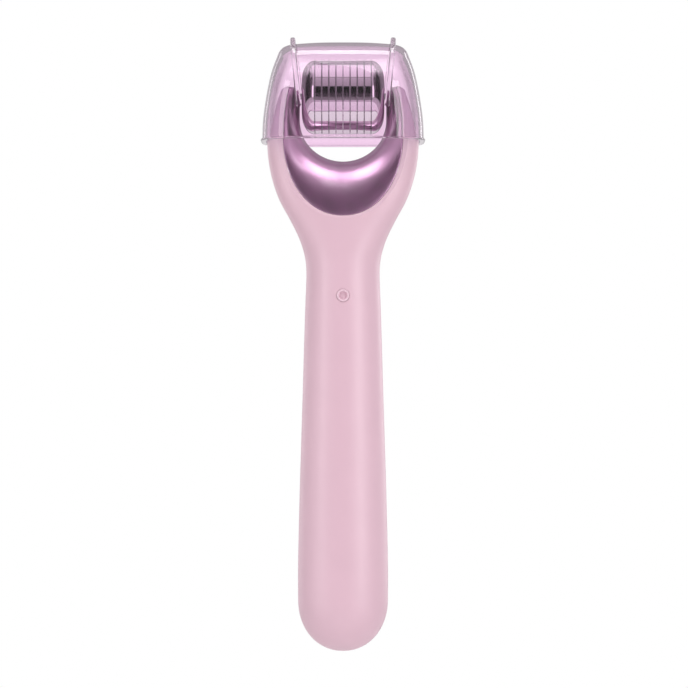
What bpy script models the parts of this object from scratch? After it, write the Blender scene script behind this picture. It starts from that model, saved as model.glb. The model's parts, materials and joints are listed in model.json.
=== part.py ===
"""Derma roller, standing upright with its head at the top and its button facing -Y.

A forked handle in two shells carries a plated fork insert. A drum of nine needle discs spins on a steel
axle between the fork's arms, under a clear cap that pulls off upwards. The handle holds the board, the
battery, the vibration motor and the charging socket.
"""

import math

import bmesh
import bpy
from mathutils import Vector

MM = 0.001  # every size below is in millimetres, and meshes are made in metres

# Gaps between pieces
FIT = 0.3  # round a piece that sits in or on another
SEAM = 0.2  # between the two handle shells
BEYOND = 30.0  # how far a cutter runs past what it cuts

# Handle: (height, half-width) and (height, half-depth) of its outside, above the rounded end
END_HEIGHT = 13.0
END_POWER = 2.1
HALF_WIDTHS = [
    (13.0, 11.35), (18.0, 11.38), (38.0, 11.0), (63.0, 10.25), (88.0, 9.5), (95.0, 9.25),
    (99.0, 9.55), (103.7, 10.9), (108.7, 13.3), (113.8, 16.05), (118.8, 17.8), (123.9, 18.8),
    (128.4, 19.1), (133.0, 18.5), (137.0, 17.5), (140.5, 16.35), (141.9, 15.7), (142.6, 14.6),
]  # fmt: skip
HALF_DEPTHS = [
    (13.0, 10.2), (18.0, 10.3), (38.0, 9.95), (63.0, 9.3), (88.0, 8.75), (95.0, 8.6),
    (104.0, 8.6), (112.0, 8.7), (118.0, 8.6), (124.0, 8.3), (130.0, 7.8), (134.0, 7.3),
    (138.0, 6.3), (140.5, 5.0), (142.0, 3.4), (142.6, 2.2),
]  # fmt: skip
HANDLE_TOP = 142.6
NECK_POWER = 2.2  # the grip's section is nearly an ellipse
FORK_POWER = 4.0  # the fork's section is flat with round sides
FLARE_FROM = 97.0
FLARE_TO = 117.0
SHELL_WALL = 1.5
CAVITY_BOTTOM = 1.6
CAVITY_TOP = 107.8

# Fork insert: its inner edge is the U-shaped opening, its outer edge lies on the handle's face
OPENING_CENTRE = 134.0
OPENING_HALF_WIDTH = 11.0
OPENING_DEPTH = 10.4
TIP_FROM = 138.0
TIP_LEAN = 2.2
INSERT_CENTRE = 130.0
INSERT_HALF_WIDTH = 15.05
INSERT_DROP = 20.4
INSERT_RISE = 30.0
INSERT_POWER = 2.1
INSERT_TOP = 142.3

# Roller
AXLE_HEIGHT = 140.0
AXLE_RADIUS = 0.75
AXLE_HALF_LENGTH = 13.2
BORE_RADIUS = 0.85
BUSH_RADIUS = 1.4
BUSH_FROM = 11.5
BUSH_TO = 13.5
DISC_COUNT = 9
DISC_PITCH = 1.77
DISC_THICKNESS = 0.25
NEEDLES = 60
NEEDLE_TIP = 9.86
NEEDLE_ROOT = 8.9
HUB_RADIUS = 3.2
HUB_CORNERS = 20
CORE_RADIUS = 3.0
DRUM_RADIUS = 9.5
DISC_GAP = 0.1
END_CAP_FROM = 7.35
END_CAP_TO = 10.44
END_CAP_FACE = 4.5

# Protective cap: (height, half-width) of its outside
CAP_RIM = 128.4
CAP_TOP = 153.5
CAP_WALL = 1.0
CAP_HALF_WIDTHS = [
    (128.4, 20.35), (134.0, 20.1), (137.8, 19.6), (141.6, 18.95), (145.4, 18.1), (149.2, 16.8),
    (151.5, 15.7), (152.2, 14.9), (152.7, 13.4), (153.1, 9.5), (153.5, 0.0),
]  # fmt: skip
CAP_ROOF = 152.2  # where the side has turned into the roof
CAP_HALF_DEPTH = 14.9
CAP_SHOULDER = 134.0
CAP_SIDE_POWER = 2.6
CAP_PLAN_POWER = 4.0
RIM_BEAD = 0.35
RIM_BEAD_HEIGHT = 0.5
FIN_RADIUS = 15.0
FIN_THICKNESS = 1.3
FIN_CHAMFER = 0.35
FIN_PLACE = 11.3
FIN_TILT = math.radians(5.5)

# Power button
BUTTON_HEIGHT = 89.6
BUTTON_RADIUS = 1.65
BUTTON_PROUD = 0.25
BUTTON_FLANGE = 2.6
BUTTON_RING = (1.2, 1.5)  # inner and outer radius of its raised ring
BUTTON_DISH = 0.3
BUTTON_HOLE_BACK = -5.0

# Inside the handle
BOARD_FRONT = -3.4
BOARD_THICKNESS = 0.8
BOARD_HALF_WIDTH = 4.6
BOARD_BOTTOM = 4.0
BOARD_TOP = 92.2
SWITCH_HALF = 2.1
SWITCH_DEPTH = 1.6
PLUNGER_RADIUS = 0.9
PLUNGER_PROUD = 0.35
SCREW_HEIGHTS = {"upper": 80.0, "lower": 16.0}
SCREW_RADIUS = 0.6
SCREW_HEAD_RADIUS = 1.3
SCREW_HEAD_HEIGHT = 0.7
SCREW_END = -0.8
CHASSIS_FRONT = -2.3
CHASSIS_PLATE = 1.2
CHASSIS_HALF_WIDTH = 5.6
CHASSIS_WALL = 1.1
CHASSIS_BACK = 3.0
CHASSIS_BOTTOM = 12.0
BATTERY_RADIUS = 4.0
BATTERY_PLACE = 3.4
BATTERY_BOTTOM = 22.0
BATTERY_LENGTH = 40.0
BATTERY_EDGE = 0.4  # chamfer at both ends of its can
TERMINAL_HEIGHT = 0.8
TERMINAL_RADIUS = 1.4
MOUNT_BOTTOM = 95.5
MOUNT_HEIGHT = 6.0
MOTOR_RADIUS = 3.0
MOTOR_BOTTOM = 94.6
MOTOR_LENGTH = 9.0
SHAFT_RADIUS = 0.5
WEIGHT_RADIUS = 2.8
WEIGHT_BOTTOM = 104.1
WEIGHT_HEIGHT = 3.0
WEIGHT_CUT = 1.1  # the plane that leaves a sector of the round
LEAD_RADIUS = 0.4
PORT_PLACE = -0.7
SOCKET_HALF_WIDTH = 4.47
SOCKET_HALF_DEPTH = 1.6
SOCKET_BOTTOM = 2.2
SOCKET_LENGTH = 7.3
SOCKET_WALL = 0.35
SOCKET_BACK = 1.2


# Curves

def through(points, at):
    """The value at one position on a smooth curve through (position, value) points, without overshoot."""
    steps = [(b[0] - a[0], (b[1] - a[1]) / (b[0] - a[0])) for a, b in zip(points, points[1:])]
    slopes = [steps[0][1]]
    for (before, slope_in), (after, slope_out) in zip(steps, steps[1:]):
        turning = slope_in * slope_out <= 0
        mean = (slope_in * after + slope_out * before) / (before + after)
        slopes.append(0.0 if turning else mean)
    slopes.append(steps[-1][1])
    at = min(max(at, points[0][0]), points[-1][0])
    index = max(i for i in range(len(steps)) if points[i][0] <= at)
    length = steps[index][0]
    t = (at - points[index][0]) / length
    start, end = points[index][1], points[index + 1][1]
    return (
        start * (2 * t**3 - 3 * t**2 + 1)
        + slopes[index] * length * (t**3 - 2 * t**2 + t)
        + end * (3 * t**2 - 2 * t**3)
        + slopes[index + 1] * length * (t**3 - t**2)
    )


def ease(low, high, at):
    """0 below low, 1 above high, and a smooth step between."""
    t = min(max((at - low) / (high - low), 0.0), 1.0)
    return t * t * (3 - 2 * t)


def rest_of(share, power):
    """What a superellipse of this power leaves for its other half-axis."""
    return max(1 - abs(share) ** power, 0.0) ** (1 / power)


def signed_power(value, power):
    return math.copysign(abs(value) ** power, value)


def oval(half_x, half_y, power, z, count, centre_y=0.0):
    """One level superellipse ring."""
    ring = []
    for i in range(count):
        angle = 2 * math.pi * i / count
        x = half_x * signed_power(math.cos(angle), 2 / power)
        y = centre_y + half_y * signed_power(math.sin(angle), 2 / power)
        ring.append((x, y, z))
    return ring


# Meshes and objects

def add_object(name, points, faces, material, sharp=35.0):
    """A closed mesh in millimetres as one object, shaded smooth except across its sharp edges."""
    mesh = bpy.data.meshes.new(name)
    mesh.from_pydata([Vector(point) * MM for point in points], [], faces)
    shape = bmesh.new()
    shape.from_mesh(mesh)
    bmesh.ops.recalc_face_normals(shape, faces=shape.faces)
    shape.to_mesh(mesh)
    shape.free()
    mesh.shade_smooth()
    mesh.set_sharp_from_angle(angle=math.radians(sharp))
    if material:
        mesh.materials.append(material)
    piece = bpy.data.objects.new(name, mesh)
    bpy.context.collection.objects.link(piece)
    return piece


def place(piece, location=(0, 0, 0), rotation=(0, 0, 0), parent=None):
    piece.location = Vector(location) * MM
    piece.rotation_euler = rotation
    piece.parent = parent
    return piece


def add_loft(name, rings, material, closed=False):
    """A skin over rings of equal count. A ring of one point is a pole; closed joins the last to the first."""
    points = [point for ring in rings for point in ring]
    starts = [sum(len(ring) for ring in rings[:i]) for i in range(len(rings))]
    pairs = [(i, i + 1) for i in range(len(rings) - 1)]
    faces = []
    if closed:
        pairs.append((len(rings) - 1, 0))
    for low, high in pairs:
        count = max(len(rings[low]), len(rings[high]))
        for i in range(count):
            j = (i + 1) % count
            if len(rings[low]) == 1 and len(rings[high]) == 1:
                continue
            if len(rings[low]) == 1:
                faces.append((starts[low], starts[high] + j, starts[high] + i))
            elif len(rings[high]) == 1:
                faces.append((starts[low] + i, starts[low] + j, starts[high]))
            else:
                faces.append((starts[low] + i, starts[low] + j, starts[high] + j, starts[high] + i))
    if not closed:
        for index in (0, len(rings) - 1):
            if len(rings[index]) > 1:
                faces.append(tuple(starts[index] + i for i in range(len(rings[index]))))
    return add_object(name, points, faces, material)


def add_turned(name, profile, material, segments=32):
    """A turned piece about local Z, from a closed profile of (along, radius) points."""
    rings = []
    for along, radius in profile:
        if radius == 0:
            rings.append([(0, 0, along)])
        else:
            turns = [2 * math.pi * i / segments for i in range(segments)]
            rings.append([(radius * math.cos(a), radius * math.sin(a), along) for a in turns])
    return add_loft(name, rings, material, closed=True)


def add_prism(name, outline, low, high, material, axis="Z"):
    """An outline of (a, b) points extruded between two levels along Z, or along Y with (x, z) points."""
    if axis == "Z":
        rings = [[(a, b, level) for a, b in outline] for level in (low, high)]
    else:
        rings = [[(a, level, b) for a, b in outline] for level in (low, high)]
    return add_loft(name, rings, material)


def add_box(name, low, high, material):
    outline = [(low[0], low[1]), (high[0], low[1]), (high[0], high[1]), (low[0], high[1])]
    return add_prism(name, outline, low[2], high[2], material)


def combine(piece, tool, operation="DIFFERENCE"):
    """A Boolean with a hidden tool object."""
    tool.hide_render = True
    tool.display_type = "WIRE"
    modifier = piece.modifiers.new(f"{operation.lower()} {tool.name}", "BOOLEAN")
    modifier.operation = operation
    modifier.solver = "EXACT"
    modifier.object = tool
    return piece


def make_material(name, colour, roughness, metallic=0.0, alpha=1.0):
    material = bpy.data.materials.new(name)
    material.use_nodes = True
    shader = material.node_tree.nodes["Principled BSDF"]
    shader.inputs["Base Color"].default_value = (*colour, 1.0)
    shader.inputs["Roughness"].default_value = roughness
    shader.inputs["Metallic"].default_value = metallic
    shader.inputs["Alpha"].default_value = alpha
    return material


def turn_to_x():
    return (0, math.radians(90), 0)


def turn_to_y():
    return (math.radians(-90), 0, 0)


# Handle

def end_share(z):
    """How much of the full section the rounded bottom end has at this height."""
    return rest_of(max(END_HEIGHT - z, 0.0) / END_HEIGHT, END_POWER)


def handle_half_width(z):
    return through(HALF_WIDTHS, z) * end_share(z)


def handle_half_depth(z):
    return through(HALF_DEPTHS, z) * end_share(z)


def handle_power(z):
    return NECK_POWER + (FORK_POWER - NECK_POWER) * ease(FLARE_FROM, FLARE_TO, z)


def handle_face(x, z):
    """How far the handle's front stands from its middle plane."""
    return handle_half_depth(z) * rest_of(x / handle_half_width(z), handle_power(z))


def handle_ring(z, inset=0.0, count=36):
    half_width = handle_half_width(z) - inset
    half_depth = handle_half_depth(z) - inset
    return oval(half_width, half_depth, handle_power(z), z, count)


def add_handle_body(name, material):
    """The whole outside of the handle and fork, before it is hollowed and split."""
    end_turns = [math.radians(angle) for angle in (12, 25, 40, 55, 72)]
    levels = [END_HEIGHT * (1 - math.cos(turn)) for turn in end_turns]
    levels += [END_HEIGHT, 20, 40, 65, 90, 96, 99.5, 102.5, 105.5, 108.5, 111.5]
    levels += [114.5, 117.5, 121, 125, 129, 133, 136.5, 139, 141, 142, HANDLE_TOP]
    return add_loft(name, [[(0, 0, 0)]] + [handle_ring(z) for z in levels], material)


def add_cavity():
    levels = [CAVITY_BOTTOM, 3, 6, END_HEIGHT, 40, 95, 99, 103.5, CAVITY_TOP]
    rings = [handle_ring(z, SHELL_WALL, count=20) for z in levels]
    return add_loft("cavity_cutter", rings, None)


def insert_edge(turn, grow=0.0):
    """The insert's outer edge in (x, z), where a line from the opening's centre meets it."""
    reach_low, reach_high = 0.0, 2 * INSERT_RISE
    for _ in range(40):
        reach = (reach_low + reach_high) / 2
        x = reach * math.cos(turn)
        z = OPENING_CENTRE - reach * math.sin(turn)
        below = z < INSERT_CENTRE
        power = INSERT_POWER if below else 2.0
        half_height = (INSERT_DROP if below else INSERT_RISE) + grow
        share = abs(x / (INSERT_HALF_WIDTH + grow)) ** power
        share += abs((z - INSERT_CENTRE) / half_height) ** power
        if share < 1:
            reach_low = reach
        else:
            reach_high = reach
    return reach * math.cos(turn), OPENING_CENTRE - reach * math.sin(turn)


def insert_half_width(z, grow=0.0):
    return (INSERT_HALF_WIDTH + grow) * rest_of((z - INSERT_CENTRE) / (INSERT_RISE + grow), 2.0)


def add_pocket():
    """What the insert and the opening take out of the handle: a plain slot through it."""
    turns = [math.pi * i / 28 for i in range(29)]
    rise = [OPENING_CENTRE + step for step in (3.0, 6.0, 10.0)]
    outline = [(insert_half_width(z, FIT), z) for z in reversed(rise)]
    outline += [insert_edge(turn, FIT) for turn in turns]
    outline += [(-insert_half_width(z, FIT), z) for z in rise]
    return add_prism("pocket_cutter", outline, -BEYOND, BEYOND, None, axis="Y")


def add_button_hole():
    radius = BUTTON_RADIUS + FIT
    profile = [(-BEYOND, 0), (-BEYOND, radius), (BUTTON_HOLE_BACK, radius), (BUTTON_HOLE_BACK, 0)]
    hole = add_turned("button_hole_cutter", profile, None, segments=24)
    return place(hole, (0, 0, BUTTON_HEIGHT), turn_to_y())


def port_prism(name, grow, low, high, material):
    ring = oval(SOCKET_HALF_WIDTH + grow, SOCKET_HALF_DEPTH + grow, 5.0, 0, 18, PORT_PLACE)
    return add_prism(name, [(x, y) for x, y, _ in ring], low, high, material)


def add_handle_shells(material):
    cavity = add_cavity()
    pocket = add_pocket()
    button_hole = add_button_hole()
    port_hole = port_prism("port_hole_cutter", FIT, -BEYOND, 2 * CAVITY_BOTTOM, None)
    for name, side in (("handle_front_shell", -1), ("handle_rear_shell", 1)):
        near, far = sorted((side * SEAM / 2, side * BEYOND))
        low, high = (-BEYOND, near, -BEYOND), (BEYOND, far, HANDLE_TOP + BEYOND)
        half = add_box(f"{name}_side", low, high, None)
        shell = add_handle_body(name, material)
        for tool in (pocket, cavity, port_hole):
            combine(shell, tool)
        if side < 0:
            combine(shell, button_hole)
        combine(shell, half, "INTERSECT")


def opening_edge(z):
    """The insert's inner edge on a fork arm, leaning outwards at the arm's tip."""
    lean = 1 - rest_of(max(z - TIP_FROM, 0.0) / (HANDLE_TOP - TIP_FROM), 2.0)
    return OPENING_HALF_WIDTH + TIP_LEAN * lean


def insert_section(inner, outer):
    """One ring of the insert: a half-ellipse that bulges from its outer edge to its inner one."""
    steps = 10
    half_depth = handle_face(*outer)
    ring = []
    for i in range(steps + 1):
        turn = math.pi * (i / steps - 0.5)
        share = math.cos(turn)
        x = outer[0] + (inner[0] - outer[0]) * share
        z = outer[1] + (inner[1] - outer[1]) * share
        ring.append((x, half_depth * math.sin(turn), z))
    return ring


def add_fork_insert(material):
    arm_levels = [INSERT_TOP, 141.6, 140.6, 139.2, 137.6, 136.0]
    right = [((opening_edge(z), z), (insert_half_width(z), z)) for z in arm_levels]
    left = [((-a[0], a[1]), (-b[0], b[1])) for a, b in reversed(right)]
    saddle = []
    for i in range(21):
        turn = math.pi * i / 20
        inner = (
            OPENING_HALF_WIDTH * math.cos(turn),
            OPENING_CENTRE - OPENING_DEPTH * math.sin(turn),
        )
        saddle.append((inner, insert_edge(turn)))
    rings = [insert_section(inner, outer) for inner, outer in right + saddle + left]
    insert = add_loft("fork_insert", rings, material)
    radius = BUSH_RADIUS + FIT
    profile = [(-BEYOND, 0), (-BEYOND, radius), (BEYOND, radius), (BEYOND, 0)]
    bush_hole = add_turned("bush_hole_cutter", profile, None, segments=24)
    place(bush_hole, (0, 0, AXLE_HEIGHT), turn_to_x())
    return combine(insert, bush_hole)


# Roller

def add_axle(material):
    profile = [(-AXLE_HALF_LENGTH, 0), (-AXLE_HALF_LENGTH, AXLE_RADIUS)]
    profile += [(AXLE_HALF_LENGTH, AXLE_RADIUS), (AXLE_HALF_LENGTH, 0)]
    axle = add_turned("axle", profile, material, segments=24)
    return place(axle, (0, 0, AXLE_HEIGHT), turn_to_x())


def add_tube(name, low, high, inner, outer, material, segments=32):
    profile = [(low, inner), (low, outer), (high, outer), (high, inner)]
    return add_turned(name, profile, material, segments)


def add_bushes(material):
    for name, side in (("axle_bush_left", -1), ("axle_bush_right", 1)):
        low, high = sorted((side * BUSH_FROM, side * BUSH_TO))
        bush = add_tube(name, low, high, BORE_RADIUS, BUSH_RADIUS, material, segments=24)
        place(bush, (0, 0, AXLE_HEIGHT), turn_to_x())


def needle_disc_mesh(name, material):
    """A thin steel disc with a ring of needles cut into its edge and a hub hole, about local Z."""
    edge_count = 2 * NEEDLES
    per_corner = edge_count // HUB_CORNERS
    points = []
    faces = []
    for level in (-DISC_THICKNESS / 2, DISC_THICKNESS / 2):
        for i in range(edge_count):
            radius = NEEDLE_ROOT if i % 2 else NEEDLE_TIP
            turn = 2 * math.pi * i / edge_count
            points.append((radius * math.cos(turn), radius * math.sin(turn), level))
        for i in range(HUB_CORNERS):
            turn = 2 * math.pi * (i + 0.5) / HUB_CORNERS
            points.append((HUB_RADIUS * math.cos(turn), HUB_RADIUS * math.sin(turn), level))
    side_count = edge_count + HUB_CORNERS
    for start in (0, side_count):
        for corner in range(HUB_CORNERS):
            hub = start + edge_count + corner
            next_hub = start + edge_count + (corner + 1) % HUB_CORNERS
            for i in range(corner * per_corner, (corner + 1) * per_corner):
                faces.append((hub, start + i, start + (i + 1) % edge_count))
            faces.append((hub, start + (corner + 1) * per_corner % edge_count, next_hub))
    for i in range(edge_count):
        j = (i + 1) % edge_count
        faces.append((i, j, j + side_count, i + side_count))
    for i in range(HUB_CORNERS):
        a = edge_count + i
        b = edge_count + (i + 1) % HUB_CORNERS
        faces.append((a, b, b + side_count, a + side_count))
    return add_object(name, points, faces, material)


def add_roller(disc_material, drum_material, core_material):
    axis = bpy.data.objects.new("roller_axis", None)
    bpy.context.collection.objects.link(axis)
    place(axis, (0, 0, AXLE_HEIGHT))
    middle = (DISC_COUNT - 1) / 2
    for i in range(DISC_COUNT):
        disc = needle_disc_mesh(f"needle_disc_{i + 1}", disc_material)
        place(disc, ((i - middle) * DISC_PITCH, 0, 0), turn_to_x(), axis)
    half = (DISC_PITCH - DISC_THICKNESS) / 2 - DISC_GAP
    for i in range(DISC_COUNT - 1):
        name = f"disc_spacer_{i + 1}"
        spacer = add_tube(name, -half, half, HUB_RADIUS, DRUM_RADIUS, drum_material, 30)
        place(spacer, ((i - middle + 0.5) * DISC_PITCH, 0, 0), turn_to_x(), axis)
    half = END_CAP_FROM - DISC_GAP
    core = add_tube("roller_core", -half, half, BORE_RADIUS, CORE_RADIUS, core_material, 24)
    place(core, (0, 0, 0), turn_to_x(), axis)
    for name, side in (("end_cap_left", -1), ("end_cap_right", 1)):
        place(add_end_cap(name, drum_material), (0, 0, 0), (0, side * math.radians(90), 0), axis)


def add_end_cap(name, material):
    """A dome with a flat face and a bore for the axle."""
    profile = [(END_CAP_FROM, BORE_RADIUS), (END_CAP_FROM, DRUM_RADIUS)]
    steps = 5
    for i in range(1, steps + 1):
        turn = math.radians(90) * i / steps
        along = END_CAP_FROM + (END_CAP_TO - END_CAP_FROM) * math.sin(turn)
        profile.append((along, END_CAP_FACE + (DRUM_RADIUS - END_CAP_FACE) * math.cos(turn)))
    profile.append((END_CAP_TO, BORE_RADIUS))
    return add_turned(name, profile, material, segments=30)


# Cap

def cap_half_depth(z):
    rise = max(z - CAP_SHOULDER, 0.0) / (CAP_TOP - CAP_SHOULDER)
    return CAP_HALF_DEPTH * rest_of(rise, CAP_SIDE_POWER)


def cap_ring(z, inset=0.0, grow=0.0):
    half_width = through(CAP_HALF_WIDTHS, z) - inset + grow
    half_depth = cap_half_depth(z) - inset + grow
    drop = inset * ease(AXLE_HEIGHT, CAP_ROOF, z)
    return oval(half_width, half_depth, CAP_PLAN_POWER, z - drop, 40)


def add_cap(material):
    levels = [132, 136, 140, 143.5, 146.5, 149, 151, CAP_ROOF, 152.8, 153.2]
    bead_top = CAP_RIM + RIM_BEAD_HEIGHT
    rings = [cap_ring(CAP_RIM, grow=RIM_BEAD), cap_ring(bead_top, grow=RIM_BEAD)]
    rings.append(cap_ring(bead_top + RIM_BEAD))
    rings += [cap_ring(z) for z in levels] + [[(0, 0, CAP_TOP)]]
    cap = add_loft("protective_cap", rings, material)
    skirt = [(x, y, CAP_RIM - FIN_RADIUS) for x, y, _ in cap_ring(CAP_RIM, CAP_WALL)]
    rings = [skirt, cap_ring(CAP_RIM, CAP_WALL)]
    rings += [cap_ring(z, CAP_WALL) for z in levels[1:]] + [[(0, 0, CAP_TOP - CAP_WALL)]]
    hollow = add_loft("cap_hollow_cutter", rings, None)
    for name, side in (("cap_fin_left", -1), ("cap_fin_right", 1)):
        edge = FIN_THICKNESS / 2
        profile = [(-edge, 0), (-edge, FIN_RADIUS - FIN_CHAMFER)]
        profile += [(-edge + FIN_CHAMFER, FIN_RADIUS), (edge - FIN_CHAMFER, FIN_RADIUS)]
        profile += [(edge, FIN_RADIUS - FIN_CHAMFER), (edge, 0)]
        fin = add_turned(name, profile, None, segments=44)
        place(fin, (side * FIN_PLACE, 0, AXLE_HEIGHT), (0, math.radians(90) + side * FIN_TILT, 0))
        combine(cap, fin, "UNION")
    return combine(cap, hollow)


# Button, switch and board

def add_power_button(material):
    """A round button with a raised ring round a dished middle, and a flange behind the shell."""
    face = -handle_face(0, BUTTON_HEIGHT)
    top = face - BUTTON_PROUD
    flange = face + SHELL_WALL + FIT
    profile = [
        (top + BUTTON_DISH, 0), (top + 0.2, 0.9), (top, BUTTON_RING[0]), (top, BUTTON_RING[1]),
        (top + 0.15, BUTTON_RADIUS),
        (flange, BUTTON_RADIUS), (flange, BUTTON_FLANGE), (flange + 0.45, BUTTON_FLANGE),
        (flange + 0.45, 1.0), (flange + 0.8, 1.0), (flange + 0.8, 0),
    ]  # fmt: skip
    button = add_turned("power_button", profile, material, segments=24)
    return place(button, (0, 0, BUTTON_HEIGHT), turn_to_y())


def add_tact_switch(material):
    front = BOARD_FRONT - FIT
    low = (-SWITCH_HALF, front - SWITCH_DEPTH, BUTTON_HEIGHT - SWITCH_HALF)
    high = (SWITCH_HALF, front, BUTTON_HEIGHT + SWITCH_HALF)
    switch = add_box("tact_switch", low, high, material)
    tip, root = front - SWITCH_DEPTH - PLUNGER_PROUD, front - SWITCH_DEPTH / 2
    profile = [(tip, 0), (tip, PLUNGER_RADIUS), (root, PLUNGER_RADIUS), (root, 0)]
    plunger = add_turned("switch_plunger", profile, None, segments=16)
    place(plunger, (0, 0, BUTTON_HEIGHT), turn_to_y())
    return combine(switch, plunger, "UNION")


def add_board(material):
    low = (-BOARD_HALF_WIDTH, BOARD_FRONT, BOARD_BOTTOM)
    high = (BOARD_HALF_WIDTH, BOARD_FRONT + BOARD_THICKNESS, BOARD_TOP)
    return add_box("circuit_board", low, high, material)


def add_chassis(material):
    """A tray: a plate behind the board, with a wall on each side of the battery."""
    outer, inner = CHASSIS_HALF_WIDTH, CHASSIS_HALF_WIDTH - CHASSIS_WALL
    plate_back = CHASSIS_FRONT + CHASSIS_PLATE
    outline = [
        (-outer, CHASSIS_FRONT), (outer, CHASSIS_FRONT), (outer, CHASSIS_BACK), (inner, CHASSIS_BACK),
        (inner, plate_back), (-inner, plate_back), (-inner, CHASSIS_BACK), (-outer, CHASSIS_BACK),
    ]  # fmt: skip
    return add_prism("chassis", outline, CHASSIS_BOTTOM, BOARD_TOP, material)


def add_board_screws(board, chassis, material):
    head = BOARD_FRONT - FIT
    for name, height in SCREW_HEIGHTS.items():
        radius = SCREW_RADIUS + FIT
        hole = [(-BEYOND, 0), (-BEYOND, radius), (0, radius), (0, 0)]
        cutter = add_turned(f"screw_hole_{name}", hole, None, segments=16)
        place(cutter, (0, 0, height), turn_to_y())
        combine(board, cutter)
        combine(chassis, cutter)
        profile = [
            (head - SCREW_HEAD_HEIGHT, 0), (head - SCREW_HEAD_HEIGHT, SCREW_HEAD_RADIUS - 0.2),
            (head, SCREW_HEAD_RADIUS), (head, SCREW_RADIUS), (SCREW_END - 0.2, SCREW_RADIUS),
            (SCREW_END, 0),
        ]  # fmt: skip
        screw = add_turned(f"board_screw_{name}", profile, material, segments=16)
        place(screw, (0, 0, height), turn_to_y())


# Battery, motor, leads and socket

def add_battery(material):
    end = BATTERY_BOTTOM + BATTERY_LENGTH
    can_top = end - TERMINAL_HEIGHT
    profile = [
        (BATTERY_BOTTOM, 0), (BATTERY_BOTTOM, BATTERY_RADIUS - BATTERY_EDGE),
        (BATTERY_BOTTOM + BATTERY_EDGE, BATTERY_RADIUS), (can_top - BATTERY_EDGE, BATTERY_RADIUS),
        (can_top, BATTERY_RADIUS - BATTERY_EDGE), (can_top, TERMINAL_RADIUS),
        (end, TERMINAL_RADIUS), (end, 0),
    ]  # fmt: skip
    battery = add_turned("battery_cell", profile, material, segments=28)
    return place(battery, (0, BATTERY_PLACE, 0))


def add_motor_mount(material):
    inset = SHELL_WALL + FIT
    levels = (MOUNT_BOTTOM, MOUNT_BOTTOM + MOUNT_HEIGHT)
    section = handle_ring(MOUNT_BOTTOM, inset, count=28)
    mount = add_prism("motor_mount", [(x, y) for x, y, _ in section], *levels, material)
    radius = MOTOR_RADIUS + FIT
    low, high = MOUNT_BOTTOM - BEYOND, MOUNT_BOTTOM + BEYOND
    profile = [(low, 0), (low, radius), (high, radius), (high, 0)]
    return combine(mount, add_turned("motor_bore_cutter", profile, None, segments=28))


def add_vibration_motor(material):
    can_top = MOTOR_BOTTOM + MOTOR_LENGTH
    shaft_top = WEIGHT_BOTTOM + WEIGHT_HEIGHT + 0.1
    profile = [
        (MOTOR_BOTTOM, 0), (MOTOR_BOTTOM, MOTOR_RADIUS), (can_top, MOTOR_RADIUS),
        (can_top, SHAFT_RADIUS), (shaft_top, SHAFT_RADIUS), (shaft_top, 0),
    ]  # fmt: skip
    return add_turned("vibration_motor", profile, material, segments=28)


def add_eccentric_weight(material):
    """A tungsten sector on the motor's shaft: more than half of its round is on one side."""
    top = WEIGHT_BOTTOM + WEIGHT_HEIGHT
    bore = SHAFT_RADIUS + 0.1
    weight = add_tube("eccentric_weight", WEIGHT_BOTTOM, top, bore, WEIGHT_RADIUS, material, 28)
    low, high = (-BEYOND, WEIGHT_CUT, WEIGHT_BOTTOM - BEYOND), (BEYOND, BEYOND, top + BEYOND)
    cutter = add_box("weight_cutter", low, high, None)
    return combine(weight, cutter)


def add_lead(name, route, material):
    """A thin insulated wire along a smooth curve through its route's points."""
    curve = bpy.data.curves.new(name, "CURVE")
    curve.dimensions = "3D"
    curve.bevel_depth = LEAD_RADIUS * MM
    curve.bevel_resolution = 1
    curve.use_fill_caps = True
    spline = curve.splines.new("POLY")
    steps = 3 * (len(route) - 1)
    spline.points.add(steps)
    for i in range(steps + 1):
        at = i / 3
        axes = [through(list(enumerate(values)), at) for values in zip(*route)]
        spline.points[i].co = (*(Vector(axes) * MM), 1.0)
    curve.materials.append(material)
    lead = bpy.data.objects.new(name, curve)
    bpy.context.collection.objects.link(lead)
    return lead


def add_leads(red, black):
    battery_top = BATTERY_BOTTOM + BATTERY_LENGTH + FIT + LEAD_RADIUS
    board_face = BOARD_FRONT - FIT - LEAD_RADIUS
    battery_route = [
        (2.2, 3.4, battery_top), (2.9, 4.2, 65.4), (5.4, 4.0, 67.4), (6.6, 0.8, 69.0),
        (6.4, -2.8, 70.2), (4.6, board_face - 0.1, 71.0), (3.0, board_face, 71.0),
    ]  # fmt: skip
    motor_route = [
        (3.6, board_face, 88.0), (3.5, board_face, 91.6), (2.8, -3.1, 93.4), (1.5, -1.4, 93.6),
    ]  # fmt: skip
    for sign, colour, material in ((1, "red", red), (-1, "black", black)):
        for kind, route in (("battery", battery_route), ("motor", motor_route)):
            add_lead(f"{kind}_lead_{colour}", [(sign * x, y, z) for x, y, z in route], material)


def add_charging_socket(material):
    """A steel shell with a slot in its lower end."""
    top = SOCKET_BOTTOM + SOCKET_LENGTH
    socket = port_prism("charging_socket", 0, SOCKET_BOTTOM, top, material)
    slot_top = top - SOCKET_BACK
    slot = port_prism("socket_slot_cutter", -SOCKET_WALL, SOCKET_BOTTOM - BEYOND, slot_top, None)
    return combine(socket, slot)


def add_port_cover(material):
    """A plug that fills the port hole flush with the rounded end."""
    cover = port_prism("port_cover", 0, -BEYOND, SOCKET_BOTTOM - FIT, material)
    return combine(cover, add_handle_body("end_surface", None), "INTERSECT")


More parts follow.
